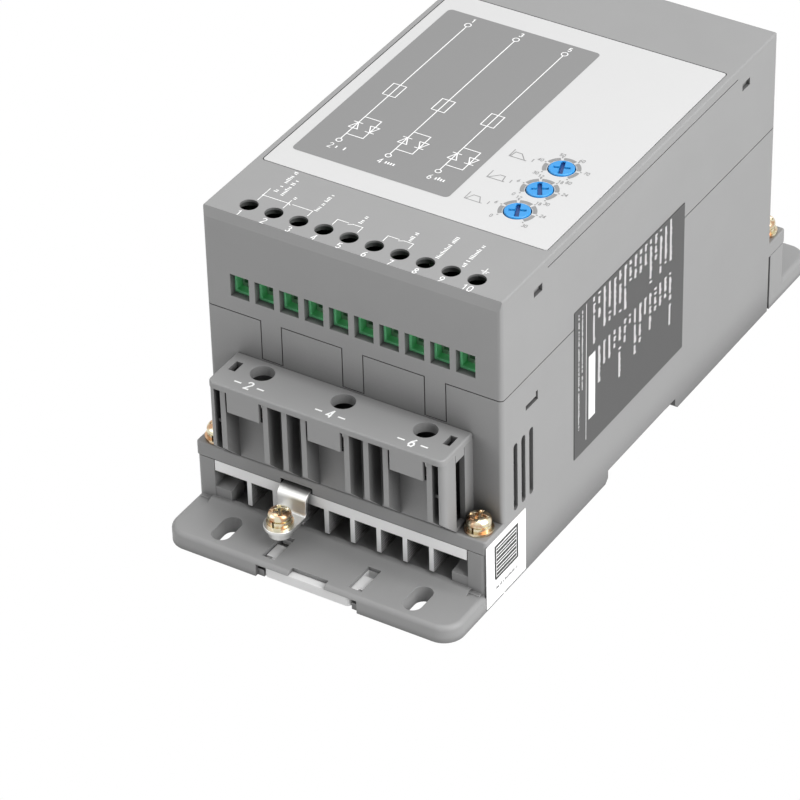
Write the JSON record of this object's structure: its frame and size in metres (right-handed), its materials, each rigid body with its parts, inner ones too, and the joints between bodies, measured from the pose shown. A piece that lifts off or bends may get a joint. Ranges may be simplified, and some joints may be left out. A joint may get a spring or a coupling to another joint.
{
  "type": "soft starter",
  "caption": "Grey motor soft starter with finger-safe power terminals at both ends, a row of control terminals, setting trimmers, finned heat sink and a rail clip in its slotted base.",
  "frame": {"origin": "centre of the part's footprint, in the plane of the mounting face", "axes": "+Z out of the mounting face towards the setting trimmers, +Y from the load terminals to the line terminals, +X to the side with the rating label"},
  "size_m": [0.0902, 0.2028, 0.0932],
  "materials": {
    "aluminium_extrusion": "clear anodised, satin",
    "base_plastic": "fine moulded texture, mid grey",
    "board_laminate": "green solder mask",
    "bright_zinc": "bright zinc",
    "clip_plastic": "light grey, smooth",
    "copper": "bare copper",
    "cover_plastic": "fine moulded texture, mid grey",
    "front_film": "pale grey printed film with a mid grey field",
    "header_plastic": "black strip with tinned pins",
    "housing_plastic": "fine moulded texture, mid grey",
    "label_film": "dark grey printed film",
    "module_epoxy": "black moulding compound",
    "nylon_spacer": "natural nylon",
    "relay_case": "black, smooth",
    "sticker_paper": "white, matt",
    "terminal_green": "green, smooth",
    "tinned_steel": "tin plated",
    "transformer_case": "dark blue, smooth",
    "trimmer_blue": "light blue, smooth",
    "trimmer_case": "dark blue, smooth",
    "yellow_zinc": "yellow passivated zinc"
  },
  "bodies": {
    "enclosure": {"board_headers": "header_plastic", "bypass_relays": "relay_case", "control_board": "board_laminate", "control_board_pillars": "nylon_spacer", "control_terminal_block": "terminal_green", "control_terminal_clamps": "tinned_steel", "control_terminal_screws": "tinned_steel", "current_transformers": "transformer_case", "earth_collar": "bright_zinc", "earth_screw": "yellow_zinc", "earth_spring_washer": "yellow_zinc", "earth_tab": "bright_zinc", "earth_washer": "yellow_zinc", "front_plate": "front_film", "heat_sink": "aluminium_extrusion", "housing_screws": "yellow_zinc", "housing_spring_washers": "yellow_zinc", "housing_washers": "yellow_zinc", "line_busbars": "copper", "line_terminal_clamps": "tinned_steel", "line_terminal_cover": "cover_plastic", "line_terminal_screws": "bright_zinc", "load_busbars": "copper", "load_terminal_clamps": "tinned_steel", "load_terminal_cover": "cover_plastic", "load_terminal_screws": "bright_zinc", "lower_housing": "housing_plastic", "module_screws": "bright_zinc", "mounting_base": "base_plastic", "power_board": "board_laminate", "power_board_pillars": "nylon_spacer", "rating_label": "label_film", "setting_board": "board_laminate", "setting_board_pillars": "nylon_spacer", "side_sticker": "sticker_paper", "thyristor_module_1": "module_epoxy", "thyristor_module_2": "module_epoxy", "thyristor_module_3": "module_epoxy", "trimmer_body_1": "trimmer_case", "trimmer_body_2": "trimmer_case", "trimmer_body_3": "trimmer_case", "upper_housing": "housing_plastic"},
    "rail_clip": {"din_clip": "clip_plastic"},
    "trimmer_1": {"trimmer_knob_1": "trimmer_blue"},
    "trimmer_2": {"trimmer_knob_2": "trimmer_blue"},
    "trimmer_3": {"trimmer_knob_3": "trimmer_blue"}
  },
  "joints": [
    {"name": "clip_slide", "type": "slide", "parent": "enclosure", "child": "rail_clip", "axis": [0, -1, 0], "range_m": [0, 0.004]},
    {"name": "trimmer_1_turn", "type": "hinge", "parent": "enclosure", "child": "trimmer_1", "pos_m": [0.0275, -0.0369, 0.09285], "axis": [0, 0, 1], "range_deg": [-135, 135]},
    {"name": "trimmer_2_turn", "type": "hinge", "parent": "enclosure", "child": "trimmer_2", "pos_m": [0.0275, -0.0254, 0.09285], "axis": [0, 0, 1], "range_deg": [-135, 135]},
    {"name": "trimmer_3_turn", "type": "hinge", "parent": "enclosure", "child": "trimmer_3", "pos_m": [0.0275, -0.0139, 0.09285], "axis": [0, 0, 1], "range_deg": [-135, 135]}
  ]
}
